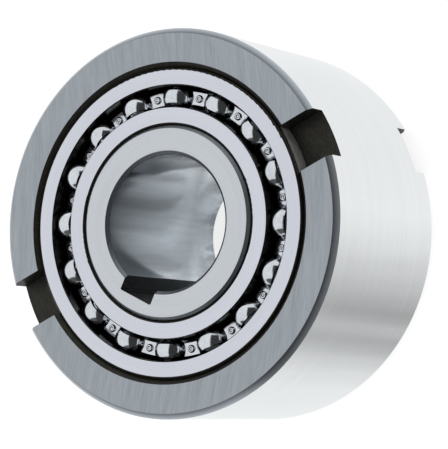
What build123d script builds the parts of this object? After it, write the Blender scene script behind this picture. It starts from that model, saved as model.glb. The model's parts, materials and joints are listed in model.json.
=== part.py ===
"""Sprag clutch with its own ball bearings: an outer ring with drive slots, an inner ring with a keyed bore, a ball
bearing in each end and a set of sprags in two cages between them.

Millimetres. +Z runs along the clutch's axis from the rear face to the front face, and +X runs through the drive
slots. The origin is the centre of the rear face. Seen from the front, the inner ring turns freely anticlockwise and
locks clockwise.
"""

import os
from math import isclose, radians, sin, sqrt

from build123d import *

# ---- Rings ----
outer_diameter = 100.0
clutch_width = 53.0
bore_diameter = 35.0
outer_edge_chamfer = 1.4  # on the outer ring's outside corners
seat_chamfer = 1.2  # at the mouth of each bearing seat
hub_edge_chamfer = 0.85  # on the inner ring's outside corners
bore_chamfer = 0.9
track_edge_chamfer = 0.4  # on the shoulders that the bearings rest against
relief_width = 1.5  # of the grinding relief beside each shoulder
relief_depth = 0.3

# ---- Drive slots, two across each end face ----
slot_width = 13.0
slot_depth = 6.0

# ---- Keyway ----
key_width = 10.0
keyway_depth = 3.3  # beyond the bore
keyway_corner = 0.4
keyway_angle = -140.0  # from +X

# ---- Ball bearings ----
bearing_bore = 50.0
bearing_outer_diameter = 80.0
bearing_width = 10.0
bearing_setback = 0.5  # behind the end face
ball_diameter = 7.144
ball_count = 16
front_ball_angle = 63.4  # of one ball, from +X
rear_ball_angle = 57.0
ball_clearance = 0.02  # between a ball and the floor of its groove
groove_ratio = 0.52  # groove radius over ball diameter
groove_depth = 0.8
outer_race_corner = 0.9
inner_race_corner = 0.75
land_chamfer = 0.25

# ---- Riveted ribbon cage of a bearing ----
ribbon_sheet = 0.8
ribbon_band = 3.3  # radial width of the flat pads
ribbon_pocket_clearance = 0.1
ribbon_bend = 0.35  # inside radius where a pocket meets a pad
rivet_shank = 1.3
rivet_head = 2.1
rivet_head_height = 0.55
rivet_head_taper = 35.0  # of the head's side, from the rivet's axis

# ---- Sprag tracks, beside the bearings' seats ----
inner_shoulder = 2.3825  # height of the inner track above the inner ring's seats
outer_shoulder = 4.2875  # height of the outer track above the outer ring's seats

# ---- Sprags ----
sprag_count = 18
sprag_width_share = 0.7  # of the gap between the tracks
sprag_waist_share = 0.6  # of its width
sprag_clearance = 0.02  # between a sprag's cam and its track
sprag_cam_share = 0.552  # a cam's radius, of the gap between the tracks
sprag_strut_offset = 0.7  # how far the outer contact lies ahead of the inner one
sprag_corner = 0.4
sprag_end_clearance = 0.15  # between a sprag's end and the end of its window
sprag_free_tilt = 5.0  # the lean that frees a sprag

# ---- Cages and spring of the sprag set ----
cage_sheet_share = 0.108  # of the gap between the tracks
cage_track_share = 0.096  # of the same gap, left between a cage and the track beside it
cage_rim = 1.2  # left at each end of the windows
cage_lip_share = 0.17  # of the room between the cages, taken by a cage's turned lip
cage_window_clearance = 0.35  # beside a sprag that leans free
spring_sheet = 0.3
spring_end_gap = 0.1  # between the spring's ends and the cages' ends
spring_clearance = 0.35  # between the spring's windows and the sprags' waists
spring_rib_share = 0.2  # of the room between the cages, taken by the half-round rib along each crossbar
spring_tongue_share = 0.3  # of the room between the cages, taken by the tongues
spring_tongue_width = 3.0
spring_tongue_gap = 0.05  # between a tongue and the sprag that leans free against it
drag_clip_count = 3
drag_clip_length = 12.0
drag_clip_width = 3.0
drag_clip_foot = 0.9  # length of its end that lies on the cage
drag_clip_sheet = 0.3
drag_clip_gap = 0.05  # between a drag clip and the outer track

# ---- Side washers ----
washer_thickness = 2.0
washer_side_gap = 0.25  # between a washer and the sprag cages
washer_track_gap = 0.8  # between a washer's rim and the outer track
washer_chamfer = 0.3

# ---- Worked out from the sizes above ----
same_size = clutch_width / 1e5  # how near an edge's radius and height have to be for it to be the one meant
outer_r = outer_diameter / 2
bore_r = bore_diameter / 2
seat_r = bearing_outer_diameter / 2
journal_r = bearing_bore / 2
inner_track_r = journal_r + inner_shoulder
outer_track_r = seat_r - outer_shoulder
mid_z = clutch_width / 2
seat_depth = bearing_setback + bearing_width
chamber_low = seat_depth
chamber_length = clutch_width - 2 * seat_depth

ball_r = ball_diameter / 2
pitch_r = (journal_r + seat_r) / 2
groove_r = groove_ratio * ball_diameter
inner_land_r = pitch_r - ball_r + groove_depth
outer_land_r = pitch_r + ball_r - groove_depth
inner_groove_r = pitch_r - ball_r - ball_clearance + groove_r
outer_groove_r = pitch_r + ball_r + ball_clearance - groove_r

track_gap = outer_track_r - inner_track_r
sprag_r = (inner_track_r + outer_track_r) / 2
sprag_pitch = 360 / sprag_count
cam_r = sprag_cam_share * track_gap
sprag_width = sprag_width_share * track_gap
sprag_waist = sprag_waist_share * sprag_width
cages_low = chamber_low + washer_thickness + washer_side_gap
cages_length = chamber_length - 2 * (washer_thickness + washer_side_gap)
window_length = cages_length - 2 * cage_rim
sprag_length = window_length - 2 * sprag_end_clearance
lean = sin(radians(sprag_free_tilt))  # sideways movement of a free sprag for each millimetre above its middle
window_width = sprag_width + 2 * cage_window_clearance + lean * track_gap
spring_length = cages_length - 2 * spring_end_gap
spring_window = sprag_waist + 2 * spring_clearance
cage_sheet = cage_sheet_share * track_gap
outer_cage_r = outer_track_r - cage_track_share * track_gap
inner_cage_r = inner_track_r + cage_track_share * track_gap
cage_room = outer_cage_r - inner_cage_r - 2 * cage_sheet
cage_lip = cage_lip_share * cage_room
spring_rib = spring_rib_share * cage_room
spring_tongue_height = spring_tongue_share * cage_room


def bearing_mid(end):
    """Height of a bearing's middle plane: end is 1 at the front and -1 at the rear."""
    return mid_z + end * (mid_z - bearing_setback - bearing_width / 2)


def circle_edges(part, radius, at_z):
    """The part's circular edges of one radius at one height."""
    found = part.edges().filter_by(GeomType.CIRCLE)
    found = found.filter_by(lambda e: isclose(e.center().Z, at_z, abs_tol=same_size))
    return found.filter_by(lambda e: isclose(e.radius, radius, abs_tol=same_size))


def make_outer_ring():
    with BuildPart() as ring:
        with BuildSketch():
            Circle(outer_r)
            Circle(outer_track_r, mode=Mode.SUBTRACT)
        extrude(amount=clutch_width)
        for face_z, into in ((0, 1), (clutch_width, -1)):
            with BuildSketch(Plane.XY.offset(face_z)):
                Circle(seat_r)
            extrude(amount=into * seat_depth, mode=Mode.SUBTRACT)
            with BuildSketch(Plane.XY.offset(face_z + into * seat_depth)):
                Circle(seat_r + relief_depth)
                Circle(seat_r, mode=Mode.SUBTRACT)
            extrude(amount=-into * relief_width, mode=Mode.SUBTRACT)
            chamfer(circle_edges(ring, outer_r, face_z), outer_edge_chamfer)
            chamfer(circle_edges(ring, seat_r, face_z), seat_chamfer)
            chamfer(circle_edges(ring, outer_track_r, face_z + into * seat_depth), track_edge_chamfer)
            with BuildSketch(Plane.XY.offset(face_z)):
                Rectangle(2 * outer_r + slot_width, slot_width)
            extrude(amount=into * slot_depth, mode=Mode.SUBTRACT)
    return ring.part


def make_inner_ring():
    with BuildPart() as ring:
        with BuildSketch():
            Circle(journal_r)
        extrude(amount=clutch_width)
        with BuildSketch(Plane.XY.offset(chamber_low)):
            Circle(inner_track_r)
        extrude(amount=chamber_length)
        with BuildSketch():
            Circle(bore_r)
        extrude(amount=clutch_width, mode=Mode.SUBTRACT)
        for face_z, into in ((0, 1), (clutch_width, -1)):
            with BuildSketch(Plane.XY.offset(face_z + into * seat_depth)):
                Circle(journal_r)
                Circle(journal_r - relief_depth, mode=Mode.SUBTRACT)
            extrude(amount=-into * relief_width, mode=Mode.SUBTRACT)
            chamfer(circle_edges(ring, journal_r, face_z), hub_edge_chamfer)
            chamfer(circle_edges(ring, bore_r, face_z), bore_chamfer)
            chamfer(circle_edges(ring, inner_track_r, face_z + into * seat_depth), track_edge_chamfer)
        floor_r = bore_r + keyway_depth
        with BuildSketch(Plane.XY.rotated((0, 0, keyway_angle))) as keyway:
            with Locations((floor_r / 2, 0)):
                Rectangle(floor_r, key_width)
            fillet(keyway.vertices().group_by(Axis.X)[-1], keyway_corner)
        extrude(amount=clutch_width, mode=Mode.SUBTRACT)
    return ring.part


def make_outer_race(end):
    with BuildPart() as race:
        with BuildSketch(Plane.XZ) as section:
            with Locations(((outer_land_r + seat_r) / 2, bearing_mid(end))):
                Rectangle(seat_r - outer_land_r, bearing_width)
            fillet(section.vertices().group_by(Axis.X)[-1], outer_race_corner)
            chamfer(section.vertices().group_by(Axis.X)[0], land_chamfer)
            with Locations((outer_groove_r, bearing_mid(end))):
                Circle(groove_r, mode=Mode.SUBTRACT)
        revolve(axis=Axis.Z)
    return race.part


def make_inner_race(end):
    with BuildPart() as race:
        with BuildSketch(Plane.XZ) as section:
            with Locations(((inner_land_r + journal_r) / 2, bearing_mid(end))):
                Rectangle(inner_land_r - journal_r, bearing_width)
            fillet(section.vertices().group_by(Axis.X)[0], inner_race_corner)
            chamfer(section.vertices().group_by(Axis.X)[-1], land_chamfer)
            with Locations((inner_groove_r, bearing_mid(end))):
                Circle(groove_r, mode=Mode.SUBTRACT)
        revolve(axis=Axis.Z)
    return race.part


def make_balls(end, first_angle):
    with BuildPart() as balls:
        with Locations((0, 0, bearing_mid(end))):
            with PolarLocations(pitch_r, ball_count, first_angle):
                Sphere(ball_r)
    return balls.part


def make_ribbon_half():
    """One half of a bearing's cage: a flat ring pressed out into a half-round pocket over each ball. It lies on
    z = 0 with a pocket on +X, and stands for the half on the front of the balls."""
    pocket_r = ball_r + ribbon_pocket_clearance
    shell_r = pocket_r + ribbon_sheet
    bend_edge_r = sqrt(shell_r**2 - ribbon_sheet**2)
    with BuildPart() as half:
        with BuildSketch():
            Circle(pitch_r + ribbon_band / 2 + ribbon_sheet)
            Circle(pitch_r - ribbon_band / 2 - ribbon_sheet, mode=Mode.SUBTRACT)
        extrude(amount=ribbon_sheet)
        with PolarLocations(pitch_r, ball_count):
            Sphere(shell_r)
        fillet(circle_edges(half, bend_edge_r, ribbon_sheet), ribbon_bend)
        with BuildSketch():
            Circle(pitch_r + ribbon_band / 2)
            Circle(pitch_r - ribbon_band / 2, mode=Mode.SUBTRACT)
        extrude(amount=bearing_width / 2, mode=Mode.INTERSECT)
        with PolarLocations(pitch_r, ball_count):
            Sphere(pocket_r, mode=Mode.SUBTRACT)
        with PolarLocations(pitch_r, ball_count, 180 / ball_count):
            Cylinder(rivet_shank / 2, 4 * ribbon_sheet, mode=Mode.SUBTRACT)
    return half.part


def place_ribbon_half(half, end, first_angle, side):
    """The half at its bearing: side is 1 for the front of the balls and -1 for behind them."""
    turned_over = 0 if side > 0 else 180
    with BuildPart() as placed:
        with Locations(Location((0, 0, bearing_mid(end)), (0, 0, first_angle))):
            with Locations(Location((0, 0, 0), (turned_over, 0, 0))):
                add(half)
    return placed.part


def make_ribbon_rivets(end, first_angle):
    """Rivets through the flat pads, each with a tapered head on both sides."""
    with BuildPart() as rivets:
        for side in (1, -1):
            for height, radius, length, taper in (
                (0, rivet_shank / 2, ribbon_sheet, 0),
                (ribbon_sheet, rivet_head / 2, rivet_head_height, rivet_head_taper),
            ):
                with BuildSketch(Plane.XY.offset(bearing_mid(end) + side * height)):
                    with PolarLocations(pitch_r, ball_count, first_angle + 180 / ball_count):
                        Circle(radius)
                extrude(amount=side * length, taper=taper)
    return rivets.part


def cam_centre(side):
    """Centre of a sprag's cam in the sprag's own section, where y points away from the clutch's axis: side is 1 for
    the outer cam and -1 for the inner one."""
    cam_x = side * sprag_strut_offset / 2
    track_r = outer_track_r if side > 0 else inner_track_r
    reach = track_r - side * (sprag_clearance + cam_r)
    return cam_x, sqrt(reach**2 - cam_x**2) - sprag_r


def make_sprag_section():
    """A sprag's outline, with its radial direction along y and its middle at the origin."""
    with BuildSketch() as section:
        with BuildLine():
            corners = {}
            for side in (1, -1):
                cam_x, cam_y = cam_centre(side)
                for flank in (1, -1):
                    x = flank * sprag_width / 2
                    corners[side, flank] = (x, cam_y + side * sqrt(cam_r**2 - (x - cam_x) ** 2))
                crown = (cam_x, cam_y + side * cam_r)
                ThreePointArc(corners[side, -1], crown, corners[side, 1])
            for flank in (1, -1):
                ThreePointArc(corners[1, flank], (flank * sprag_waist / 2, 0), corners[-1, flank])
        make_face()
        fillet(section.vertices(), sprag_corner)
    return section.sketch


def make_sprag(section, number):
    """Sprag number 1 lies on +X and the rest follow anticlockwise."""
    low_end = cages_low + cage_rim + sprag_end_clearance
    with BuildPart() as sprag:
        with BuildSketch(Plane.XY.rotated((0, 0, (number - 1) * sprag_pitch)).offset(low_end)):
            with Locations(Location((sprag_r, 0), -90)):
                add(section)
        extrude(amount=sprag_length)
    return sprag.part


def make_cage(wall_low, wall_high, lip_low, lip_high, lip_at_front):
    """A windowed ring between two radii, with a turned lip at one end."""
    with BuildPart() as cage:
        with BuildSketch(Plane.XY.offset(cages_low)):
            Circle(wall_high)
            Circle(wall_low, mode=Mode.SUBTRACT)
        extrude(amount=cages_length)
        lip_z = cages_low + (cages_length - cage_sheet if lip_at_front else 0)
        with BuildSketch(Plane.XY.offset(lip_z)):
            Circle(lip_high)
            Circle(lip_low, mode=Mode.SUBTRACT)
        extrude(amount=cage_sheet)
        with Locations((0, 0, mid_z)):
            with PolarLocations((wall_low + wall_high) / 2, sprag_count):
                Box(4 * cage_sheet, window_width, window_length, mode=Mode.SUBTRACT)
    return cage.part


def make_outer_cage():
    wall = outer_cage_r - cage_sheet
    return make_cage(wall, outer_cage_r, wall - cage_lip, outer_cage_r, True)


def make_inner_cage():
    wall = inner_cage_r + cage_sheet
    return make_cage(inner_cage_r, wall, inner_cage_r, wall + cage_lip, False)


def make_ribbon_spring():
    """A thin windowed band round the sprags' waists, with a half-round rib along each crossbar and a tongue that
    stands up beside each sprag and presses it towards its locking lean."""
    inside_r = sprag_r - spring_sheet / 2
    flank = sprag_waist / 2 + (sprag_width - sprag_waist) / 2 * (2 * spring_tongue_height / track_gap) ** 2
    tongue_at = flank + lean * spring_tongue_height + spring_tongue_gap + spring_sheet / 2
    with BuildPart() as spring:
        with BuildSketch(Plane.XY.offset(mid_z - spring_length / 2)):
            Circle(sprag_r + spring_sheet / 2)
            with PolarLocations(sprag_r, sprag_count, sprag_pitch / 2):
                Circle(spring_rib)
            Circle(inside_r, mode=Mode.SUBTRACT)
            with PolarLocations(sprag_r, sprag_count, sprag_pitch / 2):
                Circle(spring_rib - spring_sheet, mode=Mode.SUBTRACT)
        extrude(amount=spring_length)
        with Locations((0, 0, mid_z)):
            with PolarLocations(sprag_r, sprag_count):
                Box(4 * spring_sheet, spring_window, window_length, mode=Mode.SUBTRACT)
        with BuildSketch(Plane.XY.offset(mid_z - spring_tongue_width / 2)):
            with PolarLocations(inside_r, sprag_count):
                with Locations((spring_tongue_height / 2, -tongue_at)):
                    Rectangle(spring_tongue_height, spring_sheet)
        extrude(amount=spring_tongue_width)
    return spring.part


def make_drag_clips():
    """Bowed leaf springs on the outer cage's crossbars, which rub on the outer track."""
    crown_r = outer_track_r - drag_clip_gap
    low, high = mid_z - drag_clip_length / 2, mid_z + drag_clip_length / 2
    with BuildPart() as clip:
        with BuildSketch(Plane.XZ):
            with BuildLine():
                ThreePointArc((outer_cage_r, low), (crown_r, mid_z), (outer_cage_r, high))
                Line((outer_cage_r, high), (outer_cage_r, high - drag_clip_foot))
                ThreePointArc(
                    (outer_cage_r, high - drag_clip_foot),
                    (crown_r - drag_clip_sheet, mid_z),
                    (outer_cage_r, low + drag_clip_foot),
                )
                Line((outer_cage_r, low + drag_clip_foot), (outer_cage_r, low))
            make_face()
        extrude(amount=drag_clip_width / 2, both=True)
    with BuildPart() as clips:
        with PolarLocations(0, drag_clip_count, sprag_pitch / 2):
            add(clip.part)
    return clips.part


def make_side_washer(end):
    inner_face = mid_z + end * (chamber_length / 2 - washer_thickness)
    with BuildPart() as washer:
        with BuildSketch(Plane.XY.offset(inner_face)):
            Circle(outer_track_r - washer_track_gap)
            Circle(inner_track_r, mode=Mode.SUBTRACT)
        extrude(amount=end * washer_thickness)
        chamfer(washer.edges().filter_by(GeomType.CIRCLE), washer_chamfer)
    return washer.part


def write(part, name):
    part.label = name
    export_step(part, f"parts/{name}.step")


def main():
    os.makedirs("parts", exist_ok=True)
    write(make_outer_ring(), "outer_ring")
    write(make_inner_ring(), "inner_ring")
    ribbon_half = make_ribbon_half()
    for end_name, end, first_angle in (("front", 1, front_ball_angle), ("rear", -1, rear_ball_angle)):
        write(make_outer_race(end), f"{end_name}_bearing_outer_race")
        write(make_inner_race(end), f"{end_name}_bearing_inner_race")
        write(make_balls(end, first_angle), f"{end_name}_bearing_balls")
        for half_name, side in (("front", 1), ("rear", -1)):
            placed = place_ribbon_half(ribbon_half, end, first_angle, side)
            write(placed, f"{end_name}_bearing_cage_{half_name}_half")
        write(make_ribbon_rivets(end, first_angle), f"{end_name}_bearing_cage_rivets")
        write(make_side_washer(end), f"{end_name}_side_washer")
    write(make_outer_cage(), "sprag_outer_cage")
    write(make_inner_cage(), "sprag_inner_cage")
    write(make_ribbon_spring(), "sprag_ribbon_spring")
    write(make_drag_clips(), "sprag_cage_drag_clips")
    section = make_sprag_section()
    for number in range(1, sprag_count + 1):
        write(make_sprag(section, number), f"sprag_{number:02d}")


main()
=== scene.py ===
import json
import math

import bmesh
import bpy
from mathutils import Matrix, Vector


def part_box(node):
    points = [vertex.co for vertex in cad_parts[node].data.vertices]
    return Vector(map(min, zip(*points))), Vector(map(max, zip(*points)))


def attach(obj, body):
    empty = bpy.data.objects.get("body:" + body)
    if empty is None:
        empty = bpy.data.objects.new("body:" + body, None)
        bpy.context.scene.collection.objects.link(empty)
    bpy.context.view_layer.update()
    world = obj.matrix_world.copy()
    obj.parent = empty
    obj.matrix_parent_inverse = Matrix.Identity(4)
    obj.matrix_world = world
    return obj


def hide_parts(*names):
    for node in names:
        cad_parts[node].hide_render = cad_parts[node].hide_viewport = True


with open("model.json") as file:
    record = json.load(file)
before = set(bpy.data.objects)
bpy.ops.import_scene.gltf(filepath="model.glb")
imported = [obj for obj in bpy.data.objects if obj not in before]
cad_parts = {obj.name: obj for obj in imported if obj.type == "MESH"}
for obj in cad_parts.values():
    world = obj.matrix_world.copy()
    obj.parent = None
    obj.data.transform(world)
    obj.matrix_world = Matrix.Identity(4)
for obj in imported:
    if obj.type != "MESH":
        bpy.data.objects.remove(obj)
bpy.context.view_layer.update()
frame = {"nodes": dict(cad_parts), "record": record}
NODES = frame["nodes"]
MOUNTS = {mount["name"]: mount for mount in frame["record"]["mounts"]}
MM = 0.001

# ---- Camera, by how the eye sees the clutch's front face ----
VIEW_YAW = math.radians(31.36)
VIEW_PITCH = math.radians(4.04)
SLOT_LEAN = math.radians(27)  # the slots' line above the view's horizontal
FACE_DEPTH = 0.58187  # from the eye to the middle of the face, in metres
FACE_ASIDE = -0.01508  # of that middle, to the right of the view's
FACE_ABOVE = 0.00053
LENS = 183.4
SENSOR = 36

# ---- Sizes, from the frame ----
OUTER_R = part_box("outer_ring")[1].x
FRONT_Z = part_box("outer_ring")[1].z
SEAT_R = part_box("front_bearing_outer_race")[1].x
HUB_R = min(vertex.co.xy.length for vertex in NODES["front_bearing_inner_race"].data.vertices)
BORE_R = MOUNTS["bore"]["dims"]["r_mm"] * MM

# ---- What tells the faces of a node apart ----
ON_FACE = 0.01 * MM  # how near an end face has to lie to the end
ON_WALL = 0.02 * MM  # how near a facet of the bore has to lie to its radius
FACET_SAG = 0.1 * MM  # how far a wall's facets may lie inside its radius
RIM_CHAMFER = 1.4 * MM
BORE_CHAMFER = 0.9 * MM
RACE_CORNER = 1.0 * MM
SLOT_WALL = 6.6 * MM  # how far a slot's walls may lie from its middle

# ---- Edges ----
EDGE_WIDTH = 0.12 * MM
WELD_DISTANCE = 1e-7
FLAT_ANGLE = math.radians(0.3)
SHARP_ANGLE = math.radians(25)

# ---- Rivets ----
RIVETS = 16
RIVET_RADIUS = 1.05 * MM
SHANK_RADIUS = 0.65 * MM
HEAD_HEIGHT = 0.55 * MM
RIVET_SIDES = 28
# A head from its dimpled middle to its rim, as shares of its radius and height
RIVET_DOME = [(0.0, 0.62), (0.16, 0.63), (0.3, 0.7), (0.42, 0.93), (0.52, 1.0), (0.64, 0.97), (0.78, 0.86),
              (0.9, 0.62), (0.97, 0.3), (1.0, 0.0)]

# ---- Studio ----
FLOOR_RADIUS = 4
FLOOR_SIDES = 96
FLOOR_NEAR = (0.12, 0.8)  # metres from the middle, and how bright the floor looks up to there
FLOOR_FAR = (0.9, 0.42)
FLOOR_PAPER = (0.3, 0.3, 0.3, 1)
CARD_RADIUS = 0.45
CARD_STEPS = 12
CARD_CENTRE = Vector((0, 0, FRONT_Z))
# Name, degrees to the right of the face's normal, degrees above it, and shade
CARDS = [("right_card", (8, 70), (-72, 45), 0.05), ("low_card", (-60, 8), (-72, -38), 0.12)]
FLOOR_CARD_LIFT = 0.4 * MM
FLOOR_CARD_SPAN = (-0.05, 1.15)  # in lengths of the reflection of the whole wall
BLUE_PAPER = (0.975, 1.0, 1.01, 1)
# Degrees from the view's right, and the shade that a wall shows there at its rear end and at its front end
SIDE_SHADES = [(74, 0.98, 0.98), (40, 1.02, 1.02), (6, 1.07, 1.07), (-2, 0.98, 0.98), (-10, 0.8, 0.8),
               (-16, 0.68, 0.68), (-21, 0.56, 0.56), (-25, 0.47, 0.47), (-27, 0.5, 0.5), (-30, 0.62, 0.62),
               (-32, 0.61, 0.61), (-34.5, 0.52, 0.52), (-37, 0.57, 0.57), (-42, 0.76, 0.76),
               (-48, 0.91, 0.91), (-56, 1.0, 1.0), (-84, 0.98, 0.98)]
BORE_SHADES = [(95, 0.04, 0.04), (117, 0.05, 0.05), (121, 2.6, 0.08), (134, 2.7, 0.12), (139, 2.7, 0.75),
               (150, 2.4, 0.65), (157, 1.8, 0.3), (166, 1.0, 0.4), (172, 1.7, 0.4), (185, 2.3, 0.4),
               (195, 3.6, 0.45), (205, 2.7, 0.6), (220, 1.6, 0.8), (240, 0.8, 0.7), (265, 0.5, 0.5)]


def make_camera():
    across = Vector((math.cos(VIEW_YAW), 0, math.sin(VIEW_YAW)))
    level = Vector((-math.sin(VIEW_YAW), 0, math.cos(VIEW_YAW)))
    axis = math.cos(VIEW_PITCH) * level + math.sin(VIEW_PITCH) * Vector((0, 1, 0))
    upward = axis.cross(across)
    slots = math.cos(SLOT_LEAN) * across + math.sin(SLOT_LEAN) * upward
    turn = Matrix((slots, axis.cross(slots), axis))
    place = Vector((0, 0, FRONT_Z)) - turn @ Vector((FACE_ASIDE, FACE_ABOVE, -FACE_DEPTH))
    camera = bpy.data.objects.new("camera", bpy.data.cameras.new("camera"))
    camera.matrix_world = Matrix.Translation(place) @ turn.to_4x4()
    camera.data.lens = LENS
    camera.data.sensor_width = SENSOR
    bpy.context.scene.collection.objects.link(camera)
    bpy.context.scene.camera = camera


# ---- Materials ----
class Nodes:
    """A material's nodes, and short ways to add to them."""

    def __init__(self, name):
        self.material = bpy.data.materials.new(name)
        self.material.use_nodes = True
        self.tree = self.material.node_tree

    def add(self, kind, **settings):
        node = self.tree.nodes.new(kind)
        for key, value in settings.items():
            setattr(node, key, value)
        return node

    def give(self, socket, value):
        if isinstance(value, bpy.types.NodeSocket):
            self.tree.links.new(value, socket)
        else:
            socket.default_value = value

    def split(self, vector):
        node = self.add("ShaderNodeSeparateXYZ")
        self.give(node.inputs[0], vector)
        return node.outputs

    def join(self, x, y, z):
        node = self.add("ShaderNodeCombineXYZ")
        for socket, value in zip(node.inputs, (x, y, z)):
            self.give(socket, value)
        return node.outputs[0]

    def maths(self, operation, a, b=0.0):
        node = self.add("ShaderNodeMath", operation=operation)
        self.give(node.inputs[0], a)
        self.give(node.inputs[1], b)
        return node.outputs[0]

    def square(self, value):
        return self.maths("MULTIPLY", value, value)

    def blend(self, a, share_a, b, share_b):
        """The sum of two values, each times its share."""
        return self.maths("ADD", self.maths("MULTIPLY", a, share_a), self.maths("MULTIPLY", b, share_b))

    def noise(self, vector, scale, detail, roughness):
        node = self.add("ShaderNodeTexNoise")
        self.give(node.inputs["Vector"], vector)
        node.inputs["Scale"].default_value = scale
        node.inputs["Detail"].default_value = detail
        node.inputs["Roughness"].default_value = roughness
        return node.outputs["Fac"]

    def between(self, value, low, high, out_low=0.0, out_high=1.0, interpolation="LINEAR"):
        node = self.add("ShaderNodeMapRange", clamp=True, interpolation_type=interpolation)
        self.give(node.inputs["Value"], value)
        for key, number in zip(("From Min", "From Max", "To Min", "To Max"), (low, high, out_low, out_high)):
            self.give(node.inputs[key], number)
        return node.outputs[0]

    def mix(self, factor, dark, light):
        node = self.add("ShaderNodeMix", data_type="RGBA")
        self.give(node.inputs["Factor"], factor)
        colour_inputs = [socket for socket in node.inputs if socket.type == "RGBA"]
        self.give(colour_inputs[0], dark)
        self.give(colour_inputs[1], light)
        return next(socket for socket in node.outputs if socket.type == "RGBA")

    def bump(self, height, distance):
        node = self.add("ShaderNodeBump")
        self.give(node.inputs["Height"], height)
        node.inputs["Distance"].default_value = distance * MM
        node.inputs["Strength"].default_value = 1.0
        return node.outputs[0]

    def emission(self, colour, strength):
        node = self.add("ShaderNodeEmission")
        self.give(node.inputs["Color"], colour)
        self.give(node.inputs["Strength"], strength)
        return node.outputs[0]


class Metal(Nodes):
    """A metal's nodes. Lengths in its textures are millimetres of the part."""

    def __init__(self, name, metallic=1.0):
        super().__init__(name)
        self.surface = self.tree.nodes["Principled BSDF"]
        self.surface.inputs["Metallic"].default_value = metallic
        scale = self.add("ShaderNodeVectorMath", operation="SCALE")
        self.give(scale.inputs[0], self.add("ShaderNodeTexCoord").outputs["Object"])
        scale.inputs["Scale"].default_value = 1 / MM
        self.place = scale.outputs[0]
        self.x, self.y, self.z = self.split(self.place)
        self.radius = self.maths("SQRT", self.maths("ADD", self.square(self.x), self.square(self.y)))

    def look(self, **values):
        """Sets inputs of the surface. An underscore stands for a space in their names."""
        for key, value in values.items():
            self.give(self.surface.inputs[key.replace("_", " ")], value)


class Studio(Nodes):
    """The nodes of a stage piece, which has a surface of its own."""

    def __init__(self, name):
        super().__init__(name)
        self.tree.nodes.clear()

    def finish(self, surface):
        self.give(self.add("ShaderNodeOutputMaterial").inputs["Surface"], surface)
        return self.material


def grey(level, tint=(1.0, 1.0)):
    """A steel colour of that linear level. The tint is how much of it red and blue have."""
    return (level * tint[0], level, level * tint[1], 1)


def turned(metal):
    """Lines round the axis, as a lathe or a cylindrical grinder leaves."""
    stretch = 0.02
    return metal.join(metal.maths("MULTIPLY", metal.x, stretch), metal.radius, metal.z)


def ground_across(metal):
    """Long shallow arcs right across a face, as a surface grinder leaves."""
    bow, stretch = 0.002, 0.06
    over = metal.blend(metal.x, math.cos(SLOT_LEAN), metal.y, -math.sin(SLOT_LEAN))
    along = metal.blend(metal.x, math.sin(SLOT_LEAN), metal.y, math.cos(SLOT_LEAN))
    bowed = metal.maths("ADD", over, metal.maths("MULTIPLY", metal.square(along), bow))
    return metal.join(bowed, metal.maths("MULTIPLY", along, stretch), 0.0)


def lengthwise(metal):
    """Soft marks along the bore, as a drawn hone and handling leave."""
    across, along = 0.35, 0.03
    return metal.join(metal.maths("MULTIPLY", metal.x, across), metal.maths("MULTIPLY", metal.y, across),
                      metal.maths("MULTIPLY", metal.z, along))


def steel(name, level, tint, rough, lines, line_scale, line_depth, contrast, blotch):
    """Machined steel: fine lines of the tool, with soft patches of handling and oil over them."""
    metal = Metal(name)
    vector = lines(metal) if lines else metal.place
    fine = metal.noise(vector, line_scale, 3.0, 0.6)
    broad = metal.noise(vector, line_scale * 0.22, 2.0, 0.5)
    patch = metal.noise(metal.place, 0.09, 3.0, 0.55)
    streak = metal.blend(fine, 0.6, broad, 0.4)
    dark = metal.mix(patch, grey(level * (1 - contrast - blotch), tint), grey(level * (1 - contrast), tint))
    light = metal.mix(patch, grey(level * (1 + contrast), tint), grey(level * (1 + contrast + blotch), tint))
    wear = metal.maths("ADD", streak, patch)
    metal.look(Base_Color=metal.mix(metal.between(streak, 0.35, 0.65), dark, light),
               Roughness=metal.between(wear, 0.7, 1.3, rough * 0.85, rough * 1.2),
               Normal=metal.bump(streak, line_depth))
    return metal.material


def dark_steel(name, level, rough=0.5, depth=0.01, gloss=0.5):
    """Very dark steel, scratched paler here and there. In the chamfers, corners and keyway its darkness is
    painted shade; in the ring's slots and steps it is simply dark.
    """
    metal = Metal(name, metallic=0.8)
    grain = metal.noise(metal.place, 3.0, 4.0, 0.6)
    patch = metal.noise(metal.place, 0.35, 3.0, 0.6)
    narrow = metal.join(metal.maths("MULTIPLY", metal.x, 8.0), metal.y, metal.z)
    scratch = metal.noise(narrow, 0.8, 2.0, 0.6)
    warm = (level * 1.05, level, level * 0.72, 1)
    pale = (level * 2.4, level * 2.35, level * 1.9, 1)
    worn = metal.between(metal.blend(grain, 0.5, scratch, 0.5), 0.52, 0.68)
    metal.look(Base_Color=metal.mix(worn, metal.mix(patch, warm, grey(level * 0.8)), pale),
               Specular_IOR_Level=gloss,
               Roughness=metal.between(patch, 0.3, 0.7, rough * 0.85, rough * 1.2),
               Normal=metal.bump(grain, depth))
    return metal.material


def rim_steel_painted_highlight(name, inner, outer, tint, rough):
    """A corner of the outer ring, which grows lighter outward: painted shade on its inner side, grading to a
    painted highlight at its rim.
    """
    metal = Metal(name)
    outward = metal.between(metal.radius, (OUTER_R - RIM_CHAMFER) / MM, OUTER_R / MM)
    metal.look(Base_Color=metal.mix(outward, grey(inner, tint), grey(outer, tint)), Roughness=rough)
    return metal.material


COOL = (0.91, 1.085)
LAVENDER = (0.966, 1.1)
PALE_BLUE = (0.95, 1.06)
PLAIN = (1.0, 1.0)
WARM = (1.01, 0.98)
STRAW = (1.06, 0.86)

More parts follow.
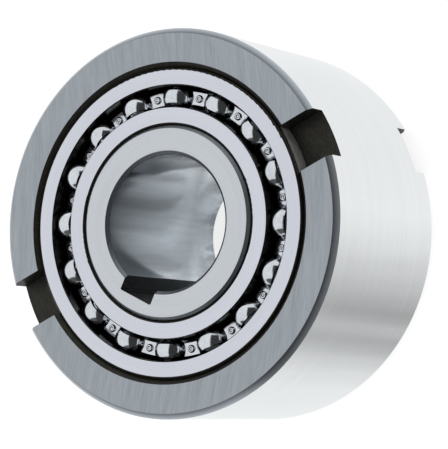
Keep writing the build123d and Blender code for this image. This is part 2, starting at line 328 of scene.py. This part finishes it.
# Level, tint, roughness, run of the lines, their fineness and depth, contrast, and strength of the blotches
STEELS = {
    "ring_face": (0.35, COOL, 0.32, ground_across, 2.2, 0.0016, 0.09, 0.08),
    "ring_side": (0.765, PLAIN, 0.17, turned, 2.0, 0.0004, 0.012, 0.03),
    "hub_face": (0.575, PALE_BLUE, 0.28, turned, 2.4, 0.0008, 0.025, 0.04),
    # The bore's low level is partly painted shade: it darkens the inside of the bore, and its reflections of
    # itself still more
    "bore": (0.2, COOL, 0.13, lengthwise, 1.6, 0.0003, 0.06, 0.08),
    "bore_edge": (0.2, COOL, 0.4, turned, 2.0, 0.002, 0.1, 0.1),
    "race": (0.62, LAVENDER, 0.2, turned, 3.0, 0.0004, 0.015, 0.03),
    "race_seat": (0.8, WARM, 0.55, turned, 3.0, 0.0006, 0.03, 0.06),
    # The ball track's near-black level is painted shade between the races
    "raceway_painted_shade": (0.05, PLAIN, 0.25, turned, 3.0, 0.0006, 0.05, 0.1),
    "ball": (0.75, PALE_BLUE, 0.06, None, 0.8, 0.0002, 0.02, 0.02),
    "cage": (0.64, PALE_BLUE, 0.13, None, 1.2, 0.002, 0.05, 0.08),
    "rivet": (0.66, PALE_BLUE, 0.16, None, 3.0, 0.002, 0.06, 0.06),
    "washer": (0.5, COOL, 0.3, turned, 3.0, 0.001, 0.08, 0.08),
    "sprag_cage": (0.42, PLAIN, 0.3, None, 1.6, 0.003, 0.08, 0.12),
    "spring": (0.4, STRAW, 0.25, None, 2.0, 0.001, 0.05, 0.08),
    "sprag": (0.46, COOL, 0.24, None, 3.0, 0.002, 0.1, 0.1),
}
MATERIALS = {name: steel(name, *values) for name, values in STEELS.items()}
# The outer ring's chamfer: painted shade grading to a painted highlight outward
MATERIALS["ring_edge_painted_highlight"] = rim_steel_painted_highlight("ring_edge_painted_highlight", 0.16, 0.55, COOL, 0.32)
MATERIALS["ring_dark_recess"] = dark_steel("ring_dark_recess", 0.028)
# The keyway: its near-black colour and weak gloss are painted shade in the recess
MATERIALS["keyway_painted_shade"] = dark_steel("keyway_painted_shade", 0.008, gloss=0.05)
# Chamfers and corners between parts: their near-black colour is painted shade
MATERIALS["chamfer_painted_shade"] = dark_steel("chamfer_painted_shade", 0.02, 0.4, 0.004)


# ---- CAD nodes, with their edges broken ----
def smooth(mesh):
    """Shades the mesh round, by its own faces and not by the normals that came with it."""
    if "custom_normal" in mesh.attributes:
        mesh.attributes.remove(mesh.attributes["custom_normal"])
    for polygon in mesh.polygons:
        polygon.use_smooth = True


def weld(name):
    smooth(NODES[name].data)
    NODES[name].modifiers.new("weld", "WELD").merge_threshold = WELD_DISTANCE


def soften(name):
    """Smooth round walls, flat faces and a small bright edge break where two faces meet."""
    weld(name)
    flat = NODES[name].modifiers.new("flat", "DECIMATE")
    flat.decimate_type = "DISSOLVE"
    flat.angle_limit = FLAT_ANGLE
    edge = NODES[name].modifiers.new("edge", "BEVEL")
    edge.width = EDGE_WIDTH
    edge.segments = 2
    edge.limit_method = "ANGLE"
    edge.angle_limit = SHARP_ANGLE
    edge.harden_normals = True


def dress(name, *materials):
    mesh = NODES[name].data
    mesh.materials.clear()
    for key in materials:
        mesh.materials.append(MATERIALS[key])


def dress_faces(name, choose, *materials):
    """Gives each face the one of these materials that choose names for its centre and normal."""
    dress(name, *materials)
    for polygon in NODES[name].data.polygons:
        polygon.material_index = materials.index(choose(polygon.center, polygon.normal))


def ring_material(centre, normal):
    radius = centre.xy.length
    from_end = min(centre.z, FRONT_Z - centre.z)
    if abs(normal.z) > 0.9 and from_end < ON_FACE:
        return "ring_face"
    if radius > OUTER_R - ON_FACE or (abs(normal.z) < 0.1 and radius > OUTER_R - FACET_SAG):
        return "ring_side"
    if radius > OUTER_R - RIM_CHAMFER and from_end < RIM_CHAMFER and 0.6 < abs(normal.z) < 0.8:
        return "ring_edge_painted_highlight"
    in_slot = abs(centre.y) < SLOT_WALL and abs(normal.y) > 0.9
    if radius > SEAT_R and (abs(normal.z) > 0.6 or in_slot):
        return "ring_dark_recess"
    return "chamfer_painted_shade"


def hub_material(centre, normal):
    radius = centre.xy.length
    from_end = min(centre.z, FRONT_Z - centre.z)
    if abs(normal.z) > 0.9 and from_end < ON_FACE:
        return "hub_face"
    if radius < BORE_R + ON_WALL and abs(normal.z) < 0.1:
        return "bore"
    if radius < HUB_R and from_end < BORE_CHAMFER:
        return "bore_edge"
    return "keyway_painted_shade" if radius < HUB_R else "chamfer_painted_shade"


def race_material(node):
    """Bright faces and seats, corners darkened with painted shade, and the ball track between the races,
    whose near-black colour is painted shade.
    """
    low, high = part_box(node)
    seat_r = SEAT_R if node.endswith("outer_race") else HUB_R

    def choose(centre, normal):
        from_seat = abs(centre.xy.length - seat_r)
        if abs(normal.z) > 0.98 and min(centre.z - low.z, high.z - centre.z) < ON_FACE:
            return "race"
        if from_seat < FACET_SAG and abs(normal.z) < 0.05:
            return "race_seat"
        return "chamfer_painted_shade" if from_seat < RACE_CORNER else "raceway_painted_shade"

    return choose


def dress_bearing(end):
    for race in (f"{end}_bearing_outer_race", f"{end}_bearing_inner_race"):
        dress_faces(race, race_material(race), "race", "chamfer_painted_shade", "raceway_painted_shade", "race_seat")
    dress(f"{end}_bearing_balls", "ball")
    dress(f"{end}_bearing_cage_front_half", "cage")
    dress(f"{end}_bearing_cage_rear_half", "cage")
    dress(f"{end}_bearing_cage_rivets", "rivet")
    dress(f"{end}_side_washer", "washer")


def dress_all():
    dress_faces("outer_ring", ring_material,
                "ring_face", "ring_side", "ring_edge_painted_highlight", "ring_dark_recess", "chamfer_painted_shade")
    dress_faces("inner_ring", hub_material,
                "hub_face", "bore", "bore_edge", "keyway_painted_shade", "chamfer_painted_shade")
    for end in ("front", "rear"):
        dress_bearing(end)
    dress("sprag_outer_cage", "sprag_cage")
    dress("sprag_inner_cage", "sprag_cage")
    dress("sprag_ribbon_spring", "spring")
    dress("sprag_cage_drag_clips", "spring")
    for name in NODES:
        if name.removeprefix("sprag_").isdigit():
            dress(name, "sprag")
        if name.endswith("_balls"):
            weld(name)
        else:
            soften(name)


def add_object(name, plan, material):
    mesh = bpy.data.meshes.new(name)
    plan.to_mesh(mesh)
    plan.free()
    mesh.materials.append(material)
    thing = bpy.data.objects.new(name, mesh)
    bpy.context.scene.collection.objects.link(thing)
    return thing


# ---- Rivets with a dimpled head, which stand for the plain ones ----
def rivet_outline(sheet_top):
    """Radius and height of a rivet's outline, from the middle of its front head to that of its rear one."""
    half = [(share * RIVET_RADIUS, sheet_top + rise * HEAD_HEIGHT) for share, rise in RIVET_DOME]
    half.append((SHANK_RADIUS, sheet_top))
    return half + [(radius, -height) for radius, height in reversed(half)]


def circle_of_points(plan, centre, radius, height):
    """The points of a rivet at one place of its outline: a circle, or a single one on its axis."""
    if radius == 0:
        return [plan.verts.new(centre + Vector((0, 0, height)))]
    turns = [2 * math.pi * i / RIVET_SIDES for i in range(RIVET_SIDES)]
    return [plan.verts.new(centre + Vector((radius * math.cos(turn), radius * math.sin(turn), height)))
            for turn in turns]


def add_rivet(plan, centre, outline):
    circles = [circle_of_points(plan, centre, radius, height) for radius, height in outline]
    for above, below in zip(circles, circles[1:]):
        for i in range(RIVET_SIDES):
            j = (i + 1) % RIVET_SIDES
            places = ((above, i), (below, i), (below, j), (above, j))
            corners = [circle[place % len(circle)] for circle, place in places]
            plan.faces.new(list(dict.fromkeys(corners)))


def make_rivets(end):
    """Rivets on the circle, and from the angle, on which the CAD's plain ones stand."""
    node = f"{end}_bearing_cage_rivets"
    low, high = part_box(node)
    points = [vertex.co for vertex in NODES[node].data.vertices]
    turns = [math.atan2(point.y, point.x) * RIVETS for point in points]
    start = math.atan2(sum(map(math.sin, turns)), sum(map(math.cos, turns))) / RIVETS
    circle_r = sum(point.xy.length for point in points) / len(points)
    outline = rivet_outline((high.z - low.z) / 2 - HEAD_HEIGHT)
    plan = bmesh.new()
    for i in range(RIVETS):
        angle = start + 2 * math.pi * i / RIVETS
        centre = Vector((circle_r * math.cos(angle), circle_r * math.sin(angle), (low.z + high.z) / 2))
        add_rivet(plan, centre, outline)
    bmesh.ops.recalc_face_normals(plan, faces=plan.faces)
    rivets = add_object(f"{end}_dimpled_rivets", plan, MATERIALS["rivet"])
    smooth(rivets.data)
    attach(rivets, f"{end}_ball_set")
    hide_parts(node)


# ---- Studio ----
def make_floor():
    """Pale paper that fades with distance where it is seen or mirrored, and shows the part's shadow."""
    nodes = Studio("floor")
    ray = nodes.add("ShaderNodeLightPath").outputs
    seen = nodes.maths("MAXIMUM", ray["Is Camera Ray"], ray["Is Glossy Ray"])
    seen = nodes.maths("MAXIMUM", seen, ray["Is Transmission Ray"])
    away = nodes.add("ShaderNodeVectorMath", operation="LENGTH")
    nodes.give(away.inputs[0], nodes.add("ShaderNodeTexCoord").outputs["Object"])
    (near, near_level), (far, far_level) = FLOOR_NEAR, FLOOR_FAR
    fade = nodes.between(away.outputs["Value"], near, far, near_level, far_level, "SMOOTHSTEP")
    paper = nodes.add("ShaderNodeBsdfDiffuse")
    paper.inputs["Color"].default_value = FLOOR_PAPER
    both = nodes.add("ShaderNodeAddShader")
    nodes.give(both.inputs[0], nodes.emission((1, 1, 1, 1), nodes.maths("MULTIPLY", seen, fade)))
    nodes.give(both.inputs[1], paper.outputs[0])
    plan = bmesh.new()
    bmesh.ops.create_circle(plan, cap_ends=True, segments=FLOOR_SIDES, radius=FLOOR_RADIUS)
    floor = add_object("floor", plan, nodes.finish(both.outputs[0]))


def make_world():
    world = bpy.data.worlds.new("studio")
    world.use_nodes = True
    sky = world.node_tree.nodes["Background"]
    sky.inputs["Color"].default_value = (1, 1, 1, 1)
    sky.inputs["Strength"].default_value = 1.0
    bpy.context.scene.world = world


def face_direction(aside, above):
    """A direction as the eye sees the front face: degrees to the right of the face's normal, and above it."""
    right = math.sin(math.radians(aside)) * math.cos(math.radians(above))
    up = math.sin(math.radians(above))
    toward = math.cos(math.radians(aside)) * math.cos(math.radians(above))
    x = math.cos(SLOT_LEAN) * right + math.sin(SLOT_LEAN) * up
    y = -math.sin(SLOT_LEAN) * right + math.cos(SLOT_LEAN) * up
    return Vector((x, y, toward))


def add_card(name, plan, material):
    """A stage piece that only the metal's reflections show."""
    card = add_object(name, plan, material)
    card.visible_camera = False
    card.visible_diffuse = False
    card.visible_shadow = False
    return card


def card_steps(low, high):
    return [low + (high - low) * i / CARD_STEPS for i in range(CARD_STEPS + 1)]


def make_card(name, aside, above, shade):
    """A curved card of one shade, over that many degrees aside and above."""
    plan = bmesh.new()
    rows = []
    for up in card_steps(*above):
        points = [CARD_CENTRE + CARD_RADIUS * face_direction(turn, up) for turn in card_steps(*aside)]
        rows.append([plan.verts.new(point) for point in points])
    for low, high in zip(rows, rows[1:]):
        for i in range(CARD_STEPS):
            plan.faces.new((low[i], low[i + 1], high[i + 1], high[i]))
    nodes = Studio(name)
    add_card(name, plan, nodes.finish(nodes.emission(grey(shade), 1.0)))


def wall_reflection(radius, turn):
    """Where a round wall at that many degrees from the view's right is, and where it sends the eye's line."""
    across = Vector((math.cos(math.radians(turn)), math.sin(math.radians(turn))))
    eye = Vector((math.sin(VIEW_YAW) * math.cos(VIEW_PITCH), -math.sin(VIEW_PITCH)))
    return across * radius, across * 2 * across.dot(eye) - eye


def make_floor_card(name, radius, stops):
    """A card on the floor, shaded in bands that the wall of that radius shows as lines along it."""
    drop = math.cos(VIEW_YAW) * math.cos(VIEW_PITCH)
    lean = Matrix.Rotation(-SLOT_LEAN, 2)
    plan = bmesh.new()
    pairs = []
    for turn, _, _ in stops:
        start, way = wall_reflection(radius, turn)
        reach = way * (FRONT_Z / drop)
        ends = [lean @ (start + share * reach) for share in FLOOR_CARD_SPAN]
        pairs.append([plan.verts.new((point.x, point.y, FLOOR_CARD_LIFT)) for point in ends])
    for first, second in zip(pairs, pairs[1:]):
        plan.faces.new((first[0], first[1], second[1], second[0]))
    nodes = Studio(name)
    shade = nodes.add("ShaderNodeAttribute", attribute_name="shade").outputs["Fac"]
    card = add_card(name, plan, nodes.finish(nodes.emission(BLUE_PAPER, shade)))
    shades = card.data.attributes.new("shade", "FLOAT", "POINT")
    shades.data.foreach_set("value", [level for _, rear, front in stops for level in (rear, front)])


dress_all()
for bearing_end in ("front", "rear"):
    make_rivets(bearing_end)
make_floor()
make_world()
for card_values in CARDS:
    make_card(*card_values)
make_floor_card("side_card", OUTER_R, SIDE_SHADES)
make_floor_card("bore_card", BORE_R, BORE_SHADES)
make_camera()
bpy.context.scene.view_settings.view_transform = "Standard"
